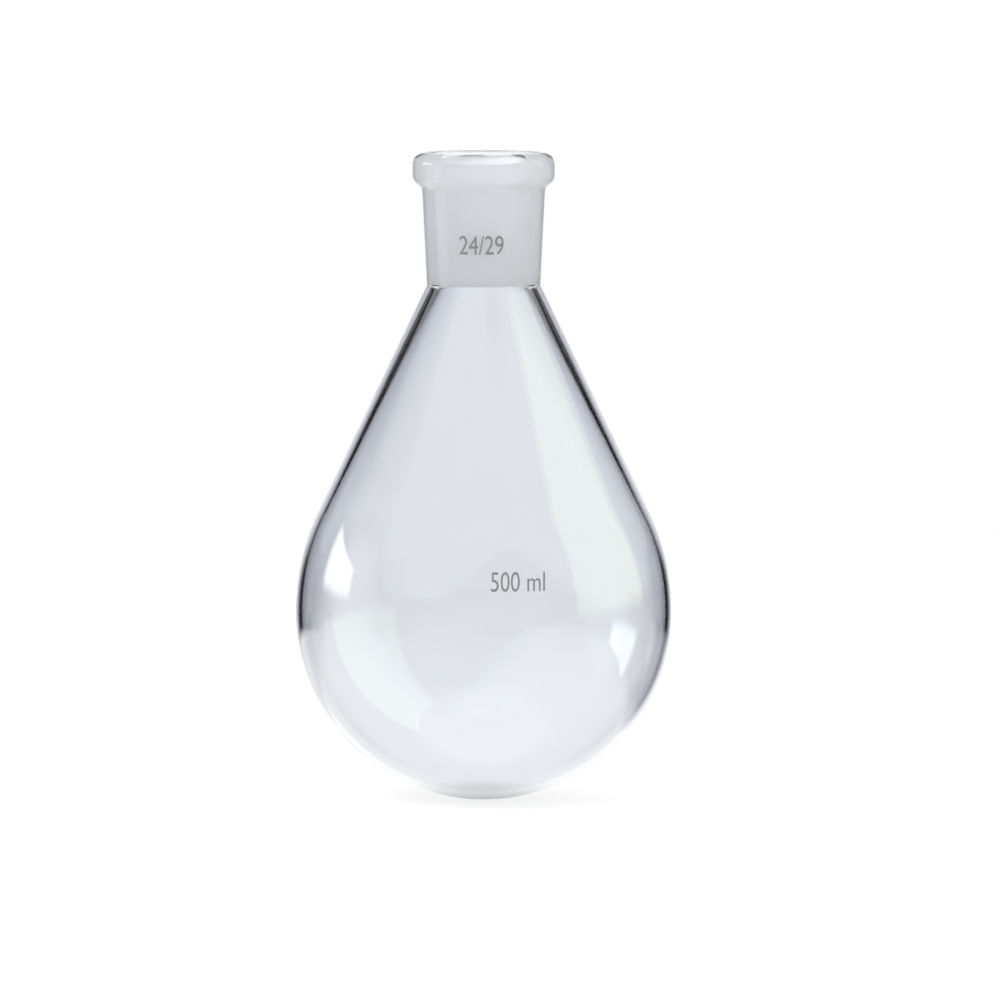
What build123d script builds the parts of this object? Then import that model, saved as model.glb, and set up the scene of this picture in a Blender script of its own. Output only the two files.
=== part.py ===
from build123d import *
import math
import os

# Pear-shaped evaporating flask with a ground socket, blown in one piece.
# Millimetres, +Z up along the neck. The origin is the centre of the socket's mouth,
# in the plane where the ground taper has its largest diameter.

# Overall form: a half ball below, drawn in along a straight flank to the neck
HEIGHT = 155.0
BULB_DIAMETER = 90.0

# How far above the ball's middle the flank, carried on, would reach the full diameter
FLANK_RISE = 12.6

# Ground conical socket, taper 1 in 10 on the diameter
SOCKET_DIAMETER = 24.0
GROUND_LENGTH = 29.0
TAPER = 1 / 10

# Rim bead and fire-polished lip
LIP_HEIGHT = 2.7
LIP_CREST_INSET = 1.9
BEAD_STAND_OUT = 2.0
BEAD_BAND = 3.7
BEAD_UNDERSIDE = 2.2

# Glass thickness
NECK_WALL = 3.0
BULB_WALL = 1.4

# Roundings of the section's corners
SHOULDER_ROUND = 1.2
BEAD_FOOT_ROUND = 1.6
BEAD_ROUND = 1.9
THROAT_ROUND = 2.5

# Heights above the bottom of the bulb's middle, the socket's two ends and the bead
middle_height = BULB_DIAMETER / 2
mouth_height = HEIGHT - LIP_HEIGHT
throat_height = mouth_height - GROUND_LENGTH
band_bottom = mouth_height - BEAD_BAND
bead_foot = band_bottom - BEAD_UNDERSIDE


def bore_radius(height):
    """Radius of the ground taper at a height above the flask's bottom."""
    return SOCKET_DIAMETER / 2 - (mouth_height - height) * TAPER / 2


def bulb_arcs(radius, neck_radius):
    """Draw a bulb's quarter circle and the bulge above it, and return where the flank begins.

    The bulge leaves the quarter circle upright and ends on the straight flank, which runs from
    there to the neck's radius at the ground zone's lower end.
    """
    CenterArc((0, middle_height), radius, 270, 90)
    climb = throat_height - middle_height - FLANK_RISE
    turn = math.atan2(radius - neck_radius, climb)
    bulge_radius = FLANK_RISE / math.tan(turn / 2)
    bulge = CenterArc((radius - bulge_radius, middle_height), bulge_radius, 0, math.degrees(turn))
    return bulge @ 1


# Radii of the section's corners, from the ground zone's lower end up to the lip's crest
outer_radius = BULB_DIAMETER / 2
inner_radius = outer_radius - BULB_WALL
throat_radius = bore_radius(throat_height)
shoulder_radius = throat_radius + NECK_WALL
foot_radius = bore_radius(bead_foot) + NECK_WALL
mouth_radius = SOCKET_DIAMETER / 2
bead_radius = mouth_radius + NECK_WALL + BEAD_STAND_OUT
crest_radius = mouth_radius + LIP_CREST_INSET

# The section is drawn with heights from the bottom, and its plane puts the mouth at Z 0
section_plane = Plane(origin=(0, 0, -mouth_height), x_dir=(1, 0, 0), z_dir=(0, -1, 0))

with BuildPart() as flask:
    with BuildSketch(section_plane) as section:
        with BuildLine():
            # Outside: bulb, flank, neck and bead
            FilletPolyline(
                bulb_arcs(outer_radius, shoulder_radius),
                (shoulder_radius, throat_height),
                (foot_radius, bead_foot),
                (bead_radius, band_bottom),
                (bead_radius, mouth_height),
                radius=[SHOULDER_ROUND, BEAD_FOOT_ROUND, BEAD_ROUND],
            )
            # Lip: two quarter rounds that meet level at the crest
            lip_centre = (crest_radius, mouth_height)
            EllipticalCenterArc(
                lip_centre, bead_radius - crest_radius, LIP_HEIGHT, start_angle=0, arc_size=90
            )
            EllipticalCenterArc(
                lip_centre, LIP_CREST_INSET, LIP_HEIGHT, start_angle=90, arc_size=90
            )
            # Inside: ground taper, throat, flank and bulb
            FilletPolyline(
                (mouth_radius, mouth_height),
                (throat_radius, throat_height),
                bulb_arcs(inner_radius, throat_radius),
                radius=THROAT_ROUND,
            )
            Line((0, 0), (0, BULB_WALL))
        make_face()
    revolve(axis=Axis.Z)

flask.part.label = "flask"

os.makedirs("parts", exist_ok=True)
export_step(flask.part, "parts/flask.step")
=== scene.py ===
"""Pear-shaped evaporating flask of clear blown glass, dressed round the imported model."""

import logging
import math
from dataclasses import dataclass
from enum import Enum

import bpy
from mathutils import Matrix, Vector

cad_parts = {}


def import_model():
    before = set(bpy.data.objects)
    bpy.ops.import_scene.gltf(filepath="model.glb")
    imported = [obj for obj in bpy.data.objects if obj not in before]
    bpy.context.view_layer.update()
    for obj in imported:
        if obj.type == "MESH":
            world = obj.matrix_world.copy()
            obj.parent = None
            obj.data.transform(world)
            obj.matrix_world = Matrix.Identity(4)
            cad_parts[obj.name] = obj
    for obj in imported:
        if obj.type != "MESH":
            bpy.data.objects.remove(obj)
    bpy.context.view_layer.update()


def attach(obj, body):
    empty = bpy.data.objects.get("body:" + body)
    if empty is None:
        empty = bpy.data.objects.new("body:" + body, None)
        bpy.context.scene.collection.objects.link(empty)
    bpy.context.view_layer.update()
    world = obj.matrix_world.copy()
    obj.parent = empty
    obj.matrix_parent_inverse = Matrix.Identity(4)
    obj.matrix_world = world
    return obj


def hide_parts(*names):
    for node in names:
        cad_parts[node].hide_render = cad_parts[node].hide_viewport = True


log = logging.getLogger("flask")

MM = 0.001
RIGHT_ANGLE = math.pi / 2

# How near two vertices are merged, and how near a point its vertex is looked for
MERGE_GAP = MM / 500
PICK_GAP = MM / 100

Socket = bpy.types.NodeSocket
Source = float | tuple[float, ...] | Socket
Colour = tuple[float, float, float]
Stops = tuple[tuple[float, Colour], ...]
Span = tuple[float, float]
Point = tuple[float, float]
Place = tuple[float, float, float]


class Wall(Enum):
    """Which finish a face of the flask takes, by the order of its material slots."""

    CLEAR = 0
    GROUND = 1


def opaque(colour: Colour) -> tuple[float, float, float, float]:
    """Give a colour its full alpha, as a colour socket takes it."""
    return (*colour, 1.0)


class Wiring:
    """Adds nodes to one node tree and links them."""

    def __init__(self, tree: bpy.types.NodeTree) -> None:
        """Start with the tree that the nodes go into."""
        self.tree = tree

    def add(self, kind: str, **settings: object) -> bpy.types.Node:
        """Add a node and set its properties.

        Args:
            kind: The node's type.
            settings: Property values by name.

        Returns:
            The new node.
        """
        node = self.tree.nodes.new(kind)
        for name, value in settings.items():
            setattr(node, name, value)
        return node

    def plug(self, socket: Socket, source: Source) -> None:
        """Link an output socket into an input, or set the input's own value.

        Args:
            socket: The input.
            source: The value or output socket that it gets.
        """
        if isinstance(source, Socket):
            self.tree.links.new(source, socket)
        else:
            socket.default_value = source

    def feed(self, node: bpy.types.Node, **sources: Source) -> None:
        """Give a node's inputs their values or links, by name.

        Args:
            node: The node to feed.
            sources: Values or output sockets by input name, with _ for a space.
        """
        for name, source in sources.items():
            self.plug(node.inputs[name.replace("_", " ")], source)

    def plug_all(self, sockets: list[Socket], sources: tuple[Source, ...]) -> None:
        """Give inputs their values or links, in order.

        Args:
            sockets: The inputs.
            sources: A value or output socket for each.
        """
        for socket, source in zip(sockets, sources):
            self.plug(socket, source)

    def math(self, operation: str, *operands: Source) -> Socket:
        """Add a Math node.

        Args:
            operation: The operation's name.
            operands: Values or sockets, in order.

        Returns:
            The result's socket.
        """
        node = self.add("ShaderNodeMath", operation=operation)
        self.plug_all(node.inputs, operands)
        return node.outputs[0]

    def step(self, value: Source, span: Span, results: Span = (0.0, 1.0)) -> Socket:
        """Go smoothly from one result to another while a value crosses a span.

        Args:
            value: What is measured.
            span: Where the change begins and where it ends, in either order.
            results: The result at its beginning and at its end.

        Returns:
            The result's socket.
        """
        node = self.add("ShaderNodeMapRange", interpolation_type="SMOOTHSTEP")
        (low, low_result), (high, high_result) = sorted(zip(span, results))
        self.feed(node, Value=value, From_Min=low, From_Max=high)
        self.feed(node, To_Min=low_result, To_Max=high_result)
        return node.outputs[0]

    def spread(self, value: Source, results: Span) -> Socket:
        """Turn a value from 0 to 1 evenly into one between two results.

        Args:
            value: The value from 0 to 1.
            results: The results at 0 and at 1.

        Returns:
            The result's socket.
        """
        node = self.add("ShaderNodeMapRange")
        self.feed(node, Value=value, To_Min=results[0], To_Max=results[1])
        return node.outputs[0]

    def noise(self, place: Source, scale: Source, detail: float) -> Socket:
        """Add a noise pattern.

        Args:
            place: Where the pattern is read.
            scale: How many of its swells there are to a metre.
            detail: How many finer layers lie over them.

        Returns:
            The pattern's value, from 0 to 1.
        """
        node = self.add("ShaderNodeTexNoise")
        self.feed(node, Vector=place, Scale=scale, Detail=detail)
        return node.outputs["Fac"]

    def bump(self, height: Source, distance: float, strength: float) -> Socket:
        """Turn a height into a surface direction.

        Args:
            height: The pattern's height, from 0 to 1.
            distance: How far a height of 1 stands out, in metres.
            strength: How much of it shows.

        Returns:
            The surface direction.
        """
        node = self.add("ShaderNodeBump")
        self.feed(node, Strength=strength, Distance=distance, Height=height)
        return node.outputs[0]

    def ramp(self, value: Source, stops: Stops) -> Socket:
        """Turn a value into a colour.

        Args:
            value: The value, from 0 to 1.
            stops: Pairs of a place from 0 to 1 and the colour there.

        Returns:
            The colour.
        """
        node = self.add("ShaderNodeValToRGB")
        elements = node.color_ramp.elements
        while len(elements) < len(stops):
            elements.new(0.5)
        for element, (place, colour) in zip(elements, stops):
            element.position = place
            element.color = opaque(colour)
        self.plug(node.inputs[0], value)
        return node.outputs[0]

    def scaled(self, colour: Source, amount: Source) -> Socket:
        """Multiply a colour by a number.

        Args:
            colour: The colour.
            amount: The number.

        Returns:
            The brighter or darker colour.
        """
        node = self.add("ShaderNodeVectorMath", operation="SCALE")
        self.plug(node.inputs[0], colour)
        self.plug(node.inputs["Scale"], amount)
        return node.outputs[0]

    def pair(self, operation: str, first: Source, second: Source) -> Socket:
        """Combine two colours, component by component.

        Args:
            operation: The operation's name.
            first: One colour.
            second: The other.

        Returns:
            The combined colour.
        """
        node = self.add("ShaderNodeVectorMath", operation=operation)
        self.plug_all(node.inputs, (first, second))
        return node.outputs[0]

    def blend(self, share: Source, first: Source, second: Source) -> Socket:
        """Mix two colours.

        Args:
            share: The second colour's share.
            first: The colour at a share of 0.
            second: The colour at a share of 1.

        Returns:
            The mixed colour.
        """
        node = self.add("ShaderNodeMix", data_type="RGBA")

        # Its colour sockets come after those for numbers and vectors
        sockets = [node.inputs[0], node.inputs[6], node.inputs[7]]
        self.plug_all(sockets, (share, first, second))
        return node.outputs[2]

    def choose(self, share: Source, without: Socket, with_it: Socket) -> Socket:
        """Mix two shaders.

        Args:
            share: The second shader's share.
            without: The shader at a share of 0.
            with_it: The shader at a share of 1.

        Returns:
            The mixed shader.
        """
        node = self.add("ShaderNodeMixShader")
        self.plug_all(node.inputs, (share, without, with_it))
        return node.outputs[0]

    def split(self, vector: Socket) -> tuple[Socket, Socket, Socket]:
        """Take a vector apart.

        Args:
            vector: A place or a direction.

        Returns:
            Its X, Y and Z.
        """
        node = self.add("ShaderNodeSeparateXYZ")
        self.plug(node.inputs[0], vector)
        return tuple(node.outputs)


def new_finish(name: str) -> tuple[bpy.types.Material, Wiring, bpy.types.Node, Socket]:
    """Start a material.

    Args:
        name: The material's name.

    Returns:
        The material, its wiring, its surface shader and the place on the piece.
    """
    material = bpy.data.materials.new(name)
    material.use_nodes = True
    wire = Wiring(material.node_tree)
    place = wire.add("ShaderNodeTexCoord").outputs["Object"]
    return material, wire, material.node_tree.nodes["Principled BSDF"], place


def waviness_group() -> bpy.types.NodeTree:
    """Make the group for the slow unevenness of blown glass, once.

    Returns:
        A node group that turns a place on the flask into a height and a density mask.
    """
    name = "blown_unevenness"
    slowness = 0.45
    if name in bpy.data.node_groups:
        return bpy.data.node_groups[name]
    group = bpy.data.node_groups.new(name, "ShaderNodeTree")
    sockets = group.interface
    sockets.new_socket("Place", in_out="INPUT", socket_type="NodeSocketVector")
    sockets.new_socket("Scale", in_out="INPUT", socket_type="NodeSocketFloat")
    sockets.new_socket("Height", in_out="OUTPUT", socket_type="NodeSocketFloat")
    sockets.new_socket("Density", in_out="OUTPUT", socket_type="NodeSocketFloat")
    wire = Wiring(group)
    given = wire.add("NodeGroupInput").outputs
    slow_scale = wire.math("MULTIPLY", given["Scale"], slowness)
    out = wire.add("NodeGroupOutput")
    wire.feed(
        out,
        Height=wire.noise(given["Place"], given["Scale"], detail=1.0),
        Density=wire.noise(given["Place"], slow_scale, detail=0.0),
    )
    return group


@dataclass(frozen=True)
class ClearGlass:
    """Fire-polished borosilicate glass, slightly uneven as it is blown. Lengths in metres."""

    pale: Colour = (0.925, 0.94, 0.965)
    dense: Colour = (0.905, 0.925, 0.955)
    refraction: float = 1.47
    wave_scale: float = 38.0
    wave_height: float = 0.03 * MM

    def make(self) -> bpy.types.Material:
        """Build the material.

        Returns:
            The clear glass.
        """
        material, wire, shader, place = new_finish("clear_glass")
        uneven = wire.add("ShaderNodeGroup", node_tree=waviness_group())
        wire.feed(uneven, Place=place, Scale=self.wave_scale)
        tint = wire.blend(uneven.outputs["Density"], opaque(self.pale), opaque(self.dense))
        waves = wire.bump(uneven.outputs["Height"], self.wave_height, strength=1.0)
        wire.feed(shader, Base_Color=tint, Normal=waves)
        wire.feed(shader, Roughness=0.0, IOR=self.refraction, Transmission_Weight=1.0)
        return material


@dataclass(frozen=True)
class GroundGlass:
    """The matt, finely ground inside of the socket. Lengths in metres."""

    colour: Colour = (0.965, 0.975, 0.98)
    shade: Colour = (0.93, 0.94, 0.955)
    refraction: float = 1.47
    transmission: float = 0.2
    roughness: Span = (0.42, 0.6)
    cloud_scale: float = 160.0
    grit_scale: float = 2600.0
    grit_height: float = 0.02 * MM
    grit_strength: float = 0.6

    def make(self) -> bpy.types.Material:
        """Build the material.

        Returns:
            The ground glass.
        """
        material, wire, shader, place = new_finish("ground_glass")
        cloud = wire.noise(place, self.cloud_scale, detail=3.0)
        grit = wire.noise(place, self.grit_scale, detail=2.0)
        wire.feed(
            shader,
            Base_Color=wire.blend(cloud, opaque(self.colour), opaque(self.shade)),
            Roughness=wire.spread(cloud, self.roughness),
            Normal=wire.bump(grit, self.grit_height, self.grit_strength),
        )
        wire.feed(shader, IOR=self.refraction, Transmission_Weight=self.transmission)
        return material


@dataclass(frozen=True)
class FiredMarking:
    """Thin grey print, fired on, slightly uneven where the ink was thin."""

    ink: Colour = (0.15, 0.15, 0.155)
    thin_ink: Colour = (0.24, 0.24, 0.245)
    thinning: Span = (0.4, 0.7)
    roughness: Span = (0.5, 0.75)
    speckle_scale: float = 4200.0

    def make(self) -> bpy.types.Material:
        """Build the material.

        Returns:
            The marking's ink.
        """
        material, wire, shader, place = new_finish("marking")
        speckle = wire.noise(place, self.speckle_scale, detail=2.0)
        thin = wire.step(speckle, self.thinning)
        wire.feed(
            shader,
            Base_Color=wire.blend(thin, opaque(self.ink), opaque(self.thin_ink)),
            Roughness=wire.spread(speckle, self.roughness),
        )
        return material


class SectionPen:
    """Draws a chain of edges in the XZ plane in edit mode, to be spun about Z.

    Points are pairs of X and Z, in metres.
    """

    def __init__(self, name: str, start: Point) -> None:
        """Begin a mesh of one vertex.

        Args:
            name: The object's name.
            start: Where the first vertex goes.
        """
        bpy.ops.object.select_all(action="DESELECT")
        bpy.ops.mesh.primitive_plane_add(size=MM)
        self.piece = bpy.context.object
        self.piece.name = name
        self.end = (0.0, 0.0)
        self.path = [start]
        self.corners: list[tuple[int, float]] = []
        bpy.ops.object.mode_set(mode="EDIT")
        bpy.ops.mesh.merge(type="CENTER")
        self._move_to(start)

    def line_to(self, point: Point, rounding: float = 0.0) -> None:
        """Extrude the end vertex to a point.

        Args:
            point: Where the edge ends.
            rounding: Radius that the corner at its end gets, or 0 to leave it sharp.
        """
        bpy.ops.mesh.extrude_region()
        self._move_to(point)
        if rounding:
            self.corners.append((len(self.path), rounding))
        self.path.append(point)

    def arc(self, centre: Point, degrees: float, steps: int, tall: float = 1.0) -> None:
        """Spin the end vertex round a centre.

        Args:
            centre: The arc's centre.
            degrees: How far it turns, from +X towards +Z where positive.
            steps: How many edges the arc has.
            tall: Height over width, where the arc is part of an ellipse.
        """
        self._stretch(centre[1], 1 / tall)
        self._select_near(self.end)
        bpy.ops.mesh.spin(
            steps=steps,
            angle=math.radians(abs(degrees)),
            center=(centre[0], 0.0, centre[1]),
            axis=(0.0, math.copysign(1.0, degrees), 0.0),
            use_auto_merge=False,
        )
        across, up = self.end[0] - centre[0], self.end[1] - centre[1]
        cos, sin = math.cos(math.radians(degrees)), math.sin(math.radians(degrees))
        self.end = (centre[0] + across * cos - up * sin, centre[1] + across * sin + up * cos)
        self._stretch(centre[1], tall)
        self._select_near(self.end)
        self.path.append(self.end)

    def close_round(self, corner_steps: int, segments: int) -> bpy.types.Object:
        """Round the corners, then spin the whole chain about Z into a closed skin.

        Args:
            corner_steps: How many edges each rounded corner has.
            segments: How many segments go round.

        Returns:
            The finished object, smooth and with its faces outwards.
        """
        for place, radius in self.corners:
            self._round_corner(*self.path[place - 1 : place + 2], radius, corner_steps)
        bpy.ops.mesh.select_all(action="SELECT")
        bpy.ops.mesh.spin(
            steps=segments,
            angle=math.tau,
            center=(0.0, 0.0, 0.0),
            axis=(0.0, 0.0, 1.0),
            use_auto_merge=False,
        )
        bpy.ops.mesh.select_all(action="SELECT")
        bpy.ops.mesh.remove_doubles(threshold=MERGE_GAP)
        bpy.ops.mesh.normals_make_consistent(inside=False)
        bpy.ops.object.mode_set(mode="OBJECT")
        bpy.ops.object.shade_smooth()
        return self.piece

    def _move_to(self, point: Point) -> None:
        """Move the selected end vertex.

        Args:
            point: Where it goes.
        """
        step = (point[0] - self.end[0], 0.0, point[1] - self.end[1])
        bpy.ops.transform.translate(value=step)
        self.end = point

    def _stretch(self, height: float, factor: float) -> None:
        """Scale the chain up or down.

        Args:
            height: The Z that stays where it is.
            factor: How many times taller the chain gets.
        """
        if factor == 1.0:
            return
        bpy.ops.mesh.select_all(action="SELECT")
        bpy.ops.transform.resize(value=(1.0, 1.0, factor), center_override=(0.0, 0.0, height))
        self.end = (self.end[0], height + (self.end[1] - height) * factor)

    def _select_near(self, point: Point) -> None:
        """Select just the vertex at a point.

        Args:
            point: Where the vertex is.
        """
        bpy.ops.mesh.select_all(action="DESELECT")
        bpy.ops.object.mode_set(mode="OBJECT")
        for vertex in self.piece.data.vertices:
            vertex.select = math.dist((vertex.co.x, vertex.co.z), point) < PICK_GAP
        bpy.ops.object.mode_set(mode="EDIT")

    def _round_corner(
        self, before: Point, corner: Point, after: Point, radius: float, steps: int
    ) -> None:
        """Bevel the chain's vertex at a corner into an arc that touches both its edges.

        Args:
            before: The point before the corner.
            corner: The corner.
            after: The point after it.
            radius: The arc's radius.
            steps: How many edges the arc has.
        """
        come = math.atan2(corner[1] - before[1], corner[0] - before[0])
        leave = math.atan2(after[1] - corner[1], after[0] - corner[0])
        turn = abs(math.remainder(leave - come, math.tau))
        self._select_near(corner)
        bpy.ops.mesh.bevel(
            offset=radius * math.tan(turn / 2),
            offset_type="OFFSET",
            segments=steps,
            affect="VERTICES",
        )


@dataclass
class FlaskBody:
    """The flask, blown in one piece. Lengths in metres, heights from the bulb's lowest point."""

    # The whole, and how far above the bulb's middle the flank, carried on, would be as wide as it
    height: float = 155.0 * MM
    bulb_radius: float = 45.0 * MM
    flank_rise: float = 12.6 * MM

    # The ground socket, with its taper on the diameter
    socket_radius: float = 12.0 * MM
    ground_length: float = 29.0 * MM
    taper: float = 1 / 10

    # The lip and the bead
    lip_height: float = 2.7 * MM
    crest_inset: float = 1.9 * MM
    bead_stand_out: float = 2.0 * MM
    bead_band: float = 3.7 * MM
    bead_underside: float = 2.2 * MM

    # Glass thickness and rounded corners
    neck_wall: float = 3.0 * MM
    bulb_wall: float = 1.4 * MM
    shoulder_round: float = 1.2 * MM
    bead_foot_round: float = 1.6 * MM
    bead_round: float = 1.9 * MM
    throat_round: float = 2.5 * MM

    # How finely the skin is cut, round the axis and along its section
    segments: int = 256
    ball_steps: int = 44
    bulge_steps: int = 14
    lip_steps: int = 12
    corner_steps: int = 7

    @property
    def mouth(self) -> float:
        """Height of the socket's mouth, where the row frame has Z 0."""
        return self.height - self.lip_height

    @property
    def throat(self) -> float:
        """Height of the ground zone's lower end."""
        return self.mouth - self.ground_length

    def build(self) -> bpy.types.Object:
        """Model the flask by spinning its section, and give it its two finishes.

        Returns:
            The flask's object.
        """
        pen = SectionPen("flask_glass", self._at(0.0, 0.0))
        self._draw_outside(pen)
        self._draw_inside(pen)
        flask = pen.close_round(self.corner_steps, self.segments)
        self._dress(flask)
        return flask

    def _draw_outside(self, pen: SectionPen) -> None:
        """Draw from the bottom up to the bead and over the lip.

        Args:
            pen: The pen, at the bulb's lowest point.
        """
        band_bottom = self.mouth - self.bead_band
        foot = band_bottom - self.bead_underside
        bead_radius = self.socket_radius + self.neck_wall + self.bead_stand_out
        crest_radius = self.socket_radius + self.crest_inset
        shoulder = self._at(self._bore(self.throat) + self.neck_wall, self.throat)
        turn, centre = self._bulge(self.bulb_radius, shoulder[0])
        pen.arc(self._middle, 90, self.ball_steps)
        pen.arc(centre, turn, self.bulge_steps)
        pen.line_to(shoulder, self.shoulder_round)
        pen.line_to(self._at(self._bore(foot) + self.neck_wall, foot), self.bead_foot_round)
        pen.line_to(self._at(bead_radius, band_bottom), self.bead_round)
        pen.line_to((bead_radius, 0.0))
        for width in (bead_radius - crest_radius, self.crest_inset):
            pen.arc((crest_radius, 0.0), 90, self.lip_steps, tall=self.lip_height / width)

    def _draw_inside(self, pen: SectionPen) -> None:
        """Draw from the mouth down to the bottom.

        Args:
            pen: The pen, at the socket's mouth.
        """
        inner_radius = self.bulb_radius - self.bulb_wall
        turn, centre = self._bulge(inner_radius, self._bore(self.throat))
        bulge_radius = inner_radius - centre[0]
        lean = math.radians(turn)
        flank_foot = (
            centre[0] + bulge_radius * math.cos(lean),
            centre[1] + bulge_radius * math.sin(lean),
        )
        pen.line_to(self._at(self._bore(self.throat), self.throat), self.throat_round)
        pen.line_to(flank_foot)
        pen.arc(centre, -turn, self.bulge_steps)
        pen.arc(self._middle, -90, self.ball_steps)

    def _at(self, radius: float, height: float) -> Point:
        """A point of the section in the row frame."""
        return radius, height - self.mouth

    @property
    def _middle(self) -> Point:
        """The middle of the ball."""
        return self._at(0.0, self.bulb_radius)

    def _bore(self, height: float) -> float:
        """Radius of the ground taper at a height."""
        return self.socket_radius - (self.mouth - height) * self.taper / 2

    def _bulge(self, radius: float, neck_radius: float) -> tuple[float, Point]:
        """Find the arc between a bulb's ball and its flank.

        Args:
            radius: The ball's radius.
            neck_radius: The radius at which the flank meets the throat's height.

        Returns:
            The arc's turn, in degrees, and its centre.
        """
        turn = math.atan2(radius - neck_radius, self.throat - self.bulb_radius - self.flank_rise)
        bulge_radius = self.flank_rise / math.tan(turn / 2)
        return math.degrees(turn), self._at(radius - bulge_radius, self.bulb_radius)

    def _dress(self, flask: bpy.types.Object) -> None:
        """Give the flask its glass, matt on the faces that are ground.

        Args:
            flask: The flask's object.
        """
        flask.data.materials.append(ClearGlass().make())
        flask.data.materials.append(GroundGlass().make())

        # The matt zone ends within the throat's rounding
        lowest = self.throat_round * self.taper - self.ground_length
        for face in flask.data.polygons:
            reach = math.hypot(face.center.x, face.center.y)
            ground = lowest < face.center.z < 0.0 and reach < self.socket_radius
            face.material_index = (Wall.GROUND if ground else Wall.CLEAR).value


@dataclass
class Marking:
    """A line of plain numbers printed on the front of the glass. Lengths in metres."""

    name: str
    text: str
    centre: Point
    width: float
    height: float
    lift: float = 0.02 * MM
    thickness: float = 0.04 * MM
    cuts: int = 2

    def build(self, flask: bpy.types.Object, ink: bpy.types.Material) -> bpy.types.Object:
        """Write the text and lay it on the flask's front.

        Args:
            flask: What it is printed on.
            ink: The marking's material.

        Returns:
            The marking's object.
        """
        in_front = -2 * flask.dimensions.y
        piece = self._write(in_front)
        self._lay_on(piece, flask)
        piece.data.materials.clear()
        piece.data.materials.append(ink)
        return piece

    def _write(self, in_front: float) -> bpy.types.Object:
        """Write the text flat and upright, cut finely enough to follow the glass.

        Args:
            in_front: The Y at which it stands.

        Returns:
            The flat text as a mesh.
        """
        bpy.ops.object.select_all(action="DESELECT")
        bpy.ops.object.text_add()
        bpy.context.object.data.body = self.text
        bpy.ops.object.convert(target="MESH")
        piece = bpy.context.object
        piece.name = self.name
        bpy.ops.object.origin_set(type="GEOMETRY_ORIGIN", center="BOUNDS")
        size = piece.dimensions
        piece.scale = (self.width / size.x, self.height / size.y, 1.0)
        piece.rotation_euler = (RIGHT_ANGLE, 0.0, 0.0)
        piece.location = (self.centre[0], in_front, self.centre[1])
        bpy.ops.object.transform_apply(location=True, rotation=True, scale=True)
        bpy.ops.object.mode_set(mode="EDIT")
        bpy.ops.mesh.select_all(action="SELECT")
        bpy.ops.mesh.quads_convert_to_tris()
        bpy.ops.mesh.subdivide(number_cuts=self.cuts)
        bpy.ops.object.mode_set(mode="OBJECT")
        return piece

    def _lay_on(self, piece: bpy.types.Object, flask: bpy.types.Object) -> None:
        """Push the text back onto the glass and give the ink its thickness.

        Args:
            piece: The flat text.
            flask: What it is printed on.
        """
        wrap = piece.modifiers.new("lay_on", "SHRINKWRAP")
        wrap.target = flask
        wrap.wrap_method = "PROJECT"
        wrap.use_project_y = True
        wrap.offset = self.lift
        body = piece.modifiers.new("ink_body", "SOLIDIFY")
        body.thickness = self.thickness
        body.offset = 1.0
        for modifier in ("lay_on", "ink_body"):
            bpy.ops.object.modifier_apply(modifier=modifier)


MARKINGS = (
    Marking(
        "joint_size_marking",
        "24/29",
        centre=(-0.5 * MM, -18.8 * MM),
        width=10.5 * MM,
        height=4.5 * MM,
    ),
    Marking(
        "volume_marking",
        "500 ml",
        centre=(8.1 * MM, -96.2 * MM),
        width=12.7 * MM,
        height=4.6 * MM,
    ),
)


@dataclass(frozen=True)
class Backdrop:
    """White straight behind the flask as seen from a few sides, and dark beside it.

    Lengths in metres, angles in degrees.
    """

    # Turns from +Y towards -X at which it is white
    views: tuple[float, ...]

    # Half the width that stays white on the floor, beside the flask
    reach: float = 0.0

    # How the white falls off with the angle beside each view
    falls: Stops = (
        (0.0, (0.93, 0.93, 0.93)),
        (4.0, (0.93, 0.93, 0.93)),
        (6.0, (0.87, 0.87, 0.89)),
        (9.0, (0.8, 0.8, 0.85)),
        (13.0, (0.7, 0.7, 0.76)),
        (17.0, (0.6, 0.6, 0.66)),
        (20.0, (0.4, 0.4, 0.44)),
        (23.0, (0.14, 0.14, 0.155)),
        (25.0, (0.02, 0.02, 0.022)),
        (27.0, (0.0, 0.0, 0.0)),
        (50.0, (0.0, 0.0, 0.0)),
        (56.0, (0.22, 0.22, 0.23)),
        (90.0, (0.28, 0.28, 0.29)),
    )

    def colour(self, wire: Wiring, x: Socket, y: Socket, squeeze: Source = 1.0) -> Socket:
        """Add the backdrop's colour to a node tree.

        Args:
            wire: The node tree's wiring.
            x: The place's or direction's X.
            y: The place's or direction's Y.
            squeeze: How many times narrower the white is than its falls say.

        Returns:
            The colour.
        """
        nearest = None
        for view in self.views:
            sin, cos = math.sin(math.radians(view)), math.cos(math.radians(view))
            along = wire.math(
                "SUBTRACT", wire.math("MULTIPLY", y, cos), wire.math("MULTIPLY", x, sin)
            )
            across = wire.math(
                "ADD", wire.math("MULTIPLY", x, cos), wire.math("MULTIPLY", y, sin)
            )
            beside = wire.math("SUBTRACT", wire.math("ABSOLUTE", across), self.reach)
            off = wire.math("ARCTAN2", wire.math("MAXIMUM", beside, 0.0), along)
            nearest = off if nearest is None else wire.math("MINIMUM", nearest, off)
        nearest = wire.math("MULTIPLY", nearest, squeeze)
        stops = tuple((math.radians(angle) / RIGHT_ANGLE, shade) for angle, shade in self.falls)
        return wire.ramp(wire.math("DIVIDE", nearest, RIGHT_ANGLE), stops)


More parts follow.
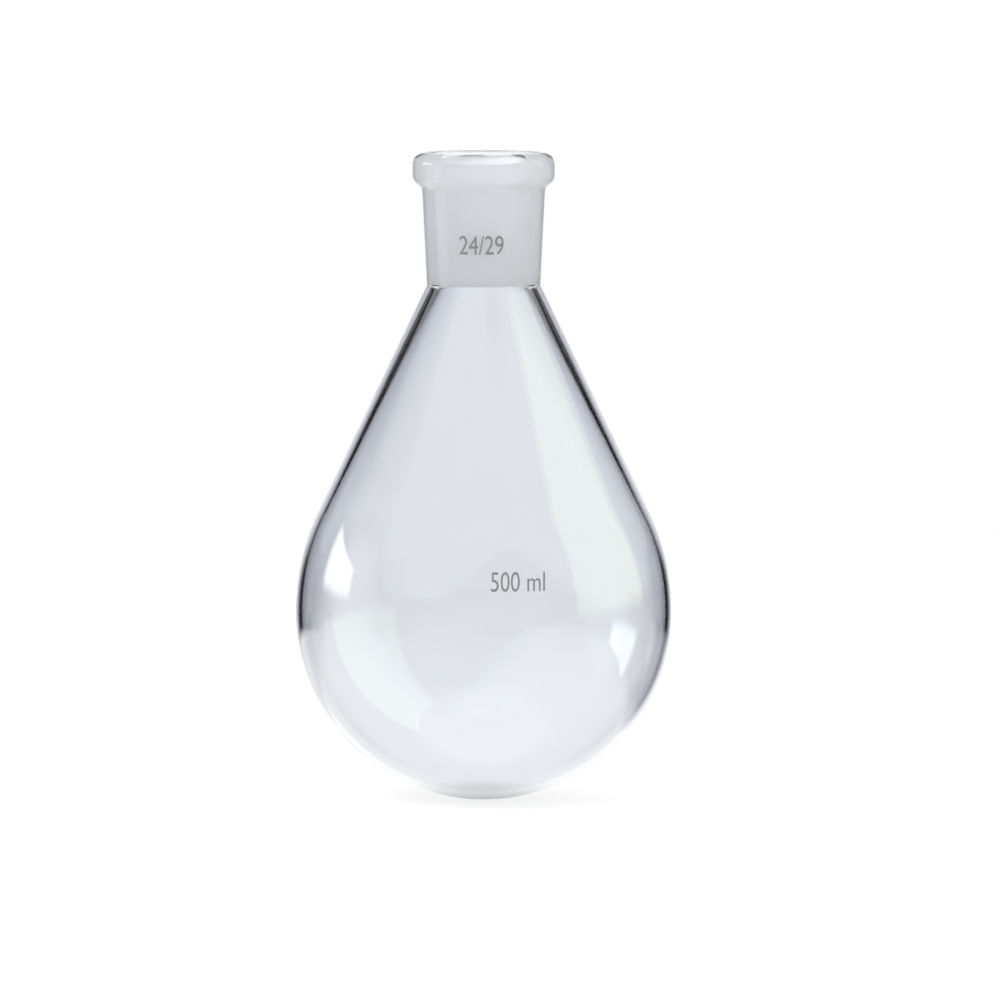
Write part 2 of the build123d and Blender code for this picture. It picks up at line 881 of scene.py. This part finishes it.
@dataclass(frozen=True)
class Window:
    """A bright opening that the glass reflects.

    Angles in degrees. Its top edge climbs by lean for each degree of turn past its first one, or
    falls where lean is negative, so that its reflection on the flank ends in a point.
    """

    turns: Span
    rises: Span
    light: Colour
    edge: float = 0.8
    sill: float = 1.5
    lean: float = 0.0

    def shine(self, wire: Wiring, turn: Socket, rise: Socket) -> Socket:
        """Add the window's light to a world.

        Args:
            wire: The world's wiring.
            turn: The direction's turn.
            rise: The direction's rise.

        Returns:
            The light's colour.
        """
        first, last = self.turns
        bottom, top = self.rises
        across = wire.math(
            "MULTIPLY",
            wire.step(turn, (first - self.edge, first + self.edge)),
            wire.step(turn, (last + self.edge, last - self.edge)),
        )
        climb = wire.math("MULTIPLY", wire.math("SUBTRACT", turn, first), self.lean)
        up = wire.math(
            "MULTIPLY",
            wire.step(rise, (bottom - self.sill, bottom + self.sill)),
            wire.step(wire.math("SUBTRACT", rise, climb), (top + self.edge, top - self.edge)),
        )
        return wire.scaled(self.light, wire.math("MULTIPLY", across, up))


@dataclass(frozen=True)
class PaleFloor:
    """The floor: white with a soft shadow to the camera, and the backdrop carried on in the glass.

    Lengths in metres. Spans are of distances from the flask's axis, and views are the backdrop's.
    """

    flask_reach: float

    # What the camera sees, whose matt share takes the shadow
    glow: float = 0.8
    shadowed: Colour = (0.25, 0.25, 0.25)

    # What lights matt things
    pale: Colour = (0.8, 0.8, 0.8)

    # What the glass shows: white behind the flask, narrower far out
    views: tuple[float, ...] = (0.0, 90.0, 225.0)
    far_squeeze: float = 1.25
    far_span: Span = (0.22, 0.34)

    # A fainter white for the steep view, which ends before the far floor
    steep_views: tuple[float, ...] = (45.0,)
    steep_light: float = 0.8
    steep_span: Span = (0.36, 0.26)

    # Painted light in the glass: a pale pool of painted light round the bottom, more painted light
    # near the flask, and a painted contact shadow right under its lowest point
    painted_pool: Colour = (0.9, 0.9, 0.88)
    painted_pool_span: Span = (0.1, 0.04)
    near_light: float = 1.1
    near_span: Span = (0.55, 0.2)
    contact_shadow_light: float = 0.5
    contact_shadow_span: Span = (0.003, 0.02)

    def make(self) -> bpy.types.Material:
        """Build the material.

        Returns:
            The floor's material.
        """
        material, wire, plain_surface, place = new_finish("pale_floor")
        nodes = material.node_tree.nodes
        nodes.remove(plain_surface)
        rays = wire.add("ShaderNodeLightPath").outputs
        pale = wire.add("ShaderNodeBsdfDiffuse")
        wire.feed(pale, Color=opaque(self.pale))
        glass_ray = wire.math("MAXIMUM", rays["Is Glossy Ray"], rays["Is Transmission Ray"])
        past_matt = wire.math("MINIMUM", rays["Diffuse Depth"], 1.0)
        glass_ray = wire.math("MULTIPLY", glass_ray, wire.math("SUBTRACT", 1.0, past_matt))
        surface = wire.choose(glass_ray, pale.outputs[0], self._in_glass(wire, place))
        surface = wire.choose(rays["Is Camera Ray"], surface, self._to_camera(wire))
        wire.plug(nodes["Material Output"].inputs["Surface"], surface)
        return material

    def _to_camera(self, wire: Wiring) -> Socket:
        """White, less the flask's soft shadow.

        Args:
            wire: The material's wiring.

        Returns:
            The shader that the camera sees.
        """
        shadowed = wire.add("ShaderNodeBsdfDiffuse")
        wire.feed(shadowed, Color=opaque(self.shadowed))
        glow = wire.add("ShaderNodeEmission")
        wire.feed(glow, Strength=self.glow)
        shown = wire.add("ShaderNodeAddShader")
        wire.plug_all(shown.inputs, (shadowed.outputs[0], glow.outputs[0]))
        return shown.outputs[0]

    def _in_glass(self, wire: Wiring, place: Socket) -> Socket:
        """The backdrop's white, carried on over the floor, with a painted pool of light and a
        painted contact shadow round the flask's foot.

        Args:
            wire: The material's wiring.
            place: The place on the floor.

        Returns:
            The shader that glass shows.
        """
        x, y, _ = wire.split(place)
        squares = (wire.math("MULTIPLY", x, x), wire.math("MULTIPLY", y, y))
        reach = wire.math("SQRT", wire.math("ADD", *squares))
        backdrop = Backdrop(self.views, self.flask_reach)
        near = backdrop.colour(wire, x, y)
        far = backdrop.colour(wire, x, y, self.far_squeeze)
        steep = Backdrop(self.steep_views, self.flask_reach).colour(wire, x, y)
        steep = wire.scaled(steep, wire.step(reach, self.steep_span, (0.0, self.steep_light)))
        # A painted pool of light on the floor round the bulb's bottom, as the glass shows it
        painted_pool = wire.scaled(self.painted_pool, wire.step(reach, self.painted_pool_span))
        light = wire.blend(wire.step(reach, self.far_span), near, far)
        light = wire.pair("MAXIMUM", light, steep)
        light = wire.pair("MAXIMUM", light, painted_pool)
        # More painted light near the flask, and a painted contact shadow right under its lowest
        # point
        strength = wire.math(
            "MULTIPLY",
            wire.step(reach, self.near_span, (1.0, self.near_light)),
            wire.step(reach, self.contact_shadow_span, (self.contact_shadow_light, 1.0)),
        )
        in_glass = wire.add("ShaderNodeEmission")
        wire.feed(in_glass, Color=wire.scaled(light, strength))
        return in_glass.outputs[0]


@dataclass(frozen=True)
class Surroundings:
    """White behind the flask, dark to its sides, and two windows that it reflects.

    Angles in degrees. Turns are measured from +Y, straight behind the flask, towards -X, and
    rises from level.
    """

    # The white, narrower low down and high up
    backdrop: Backdrop = Backdrop((0.0, 90.0))
    low_squeeze: float = 1.25
    low_rises: Span = (3.0, -3.0)
    high_squeeze: float = 1.35
    high_rises: Span = (7.0, 10.0)

    # The room above and below the backdrop, and its ceiling
    room: Colour = (0.3, 0.3, 0.31)
    room_rises: Span = (18.0, 30.0)
    ceiling: Colour = (0.8, 0.8, 0.8)
    ceiling_rises: Span = (45.0, 65.0)

    windows: tuple[Window, ...] = (
        Window(turns=(-120.0, -64.0), rises=(0.0, 60.0), light=(1.1, 1.2, 0.75), sill=3.0),
        Window(turns=(60.0, 87.0), rises=(4.0, 20.5), light=(3.5, 3.5, 3.5), sill=3.0, lean=-0.24),
    )

    # What lights matt things, brighter for the ground glass behind the neck's wall
    even_light: Colour = (1.2, 1.2, 1.2)

    # What the camera sees
    shown: Colour = (1.0, 1.0, 1.0)

    def make(self) -> bpy.types.World:
        """Build the world.

        Returns:
            The world.
        """
        world = bpy.data.worlds.new("studio")
        world.use_nodes = True
        wire = Wiring(world.node_tree)
        x, y, z = wire.split(wire.add("ShaderNodeTexCoord").outputs["Generated"])
        turn = wire.math("DEGREES", wire.math("ARCTAN2", wire.math("MULTIPLY", x, -1.0), y))
        rise = wire.math("DEGREES", wire.math("ARCSINE", z))
        squeeze = wire.math(
            "MULTIPLY",
            wire.step(rise, self.low_rises, (1.0, self.low_squeeze)),
            wire.step(rise, self.high_rises, (1.0, self.high_squeeze)),
        )
        away = wire.step(wire.math("ABSOLUTE", rise), self.room_rises)
        ceiling = wire.scaled(self.ceiling, wire.step(rise, self.ceiling_rises))
        light = self.backdrop.colour(wire, x, y, squeeze)
        light = wire.blend(away, light, opaque(self.room))
        light = wire.pair("MAXIMUM", light, ceiling)
        for window in self.windows:
            light = wire.pair("ADD", light, window.shine(wire, turn, rise))
        rays = wire.add("ShaderNodeLightPath").outputs
        past_matt = wire.math("MINIMUM", rays["Diffuse Depth"], 1.0)
        light = wire.blend(past_matt, light, opaque(self.even_light))
        light = wire.blend(rays["Is Camera Ray"], light, opaque(self.shown))
        wire.plug(world.node_tree.nodes["Background"].inputs["Color"], light)
        return world


@dataclass
class Studio:
    """Floor, surroundings, lamp and camera round the flask. Lengths in metres."""

    body: FlaskBody
    floor_radius: float = 0.6
    floor_corners: int = 96

    # One broad, soft lamp above the front left
    lamp_place: Place = (-0.7, -0.9, 1.1)
    lamp_size: float = 0.8
    lamp_watts: float = 12.0

    # The camera, nearly level, with a long lens; aim is the X and Z that it looks at
    camera_distance: float = 2.0
    camera_height: float = 0.084
    frame_width: float = 0.2385
    aim: Point = (0.0039, -0.0805)

    # How many surfaces a ray goes on through, and how many it is mirrored by
    bounces: int = 24
    mirrorings: int = 12

    def build(self) -> None:
        """Set up everything round the flask."""
        self._floor()
        self._lamp()
        self._camera()
        scene = bpy.context.scene
        scene.world = Surroundings().make()
        scene.view_settings.view_transform = "Standard"
        scene.cycles.max_bounces = self.bounces
        scene.cycles.transmission_bounces = self.bounces
        scene.cycles.glossy_bounces = self.mirrorings

    @property
    def _floor_height(self) -> float:
        """Z of the floor, at the bulb's lowest point."""
        return -self.body.mouth

    def _floor(self) -> None:
        """Lay a round floor just under the flask."""
        bpy.ops.object.select_all(action="DESELECT")
        bpy.ops.mesh.primitive_circle_add(
            vertices=self.floor_corners,
            radius=self.floor_radius,
            fill_type="NGON",
            location=(0.0, 0.0, self._floor_height),
        )
        floor = bpy.context.object
        floor.name = "floor"
        bpy.ops.object.transform_apply(location=True)
        floor.data.materials.append(PaleFloor(self.body.bulb_radius).make())

    def _lamp(self) -> None:
        """Hang the lamp, out of sight of the camera and of the glass."""
        data = bpy.data.lights.new("soft_key", "AREA")
        data.shape = "DISK"
        data.size = self.lamp_size
        data.energy = self.lamp_watts
        lamp = self._stand(data, self.lamp_place, (0.0, 0.0, self._floor_height))
        lamp.visible_camera = False
        lamp.visible_glossy = False
        lamp.visible_transmission = False

    def _camera(self) -> None:
        """Set the camera up in front of the flask."""
        data = bpy.data.cameras.new("camera")
        data.lens = data.sensor_width * self.camera_distance / self.frame_width
        place = (self.aim[0], -self.camera_distance, self.camera_height)
        bpy.context.scene.camera = self._stand(data, place, (self.aim[0], 0.0, self.aim[1]))

    @staticmethod
    def _stand(data: bpy.types.ID, place: Place, target: Place) -> bpy.types.Object:
        """Put a lamp or a camera in the scene and point it at something.

        Args:
            data: The lamp's or camera's data, whose name the object takes.
            place: Where it stands.
            target: Where it points.

        Returns:
            The lamp's or camera's object.
        """
        thing = bpy.data.objects.new(data.name, data)
        bpy.context.scene.collection.objects.link(thing)
        thing.location = place
        aim = Vector(target) - thing.location
        thing.rotation_euler = aim.to_track_quat("-Z", "Y").to_euler()
        return thing


def report(piece: bpy.types.Object) -> None:
    """Log a piece's name and how many faces it has."""
    log.info("%s: %d faces", piece.name, len(piece.data.polygons))


def main() -> None:
    """Build the scene in order and report each piece."""
    logging.basicConfig(level=logging.INFO, format="%(message)s")
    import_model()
    body = FlaskBody()
    Studio(body).build()
    flask = body.build()
    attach(flask, "root")
    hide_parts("flask")
    report(flask)
    ink = FiredMarking().make()
    for marking in MARKINGS:
        piece = marking.build(flask, ink)
        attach(piece, "root")
        report(piece)


if __name__ == "__main__":
    main()
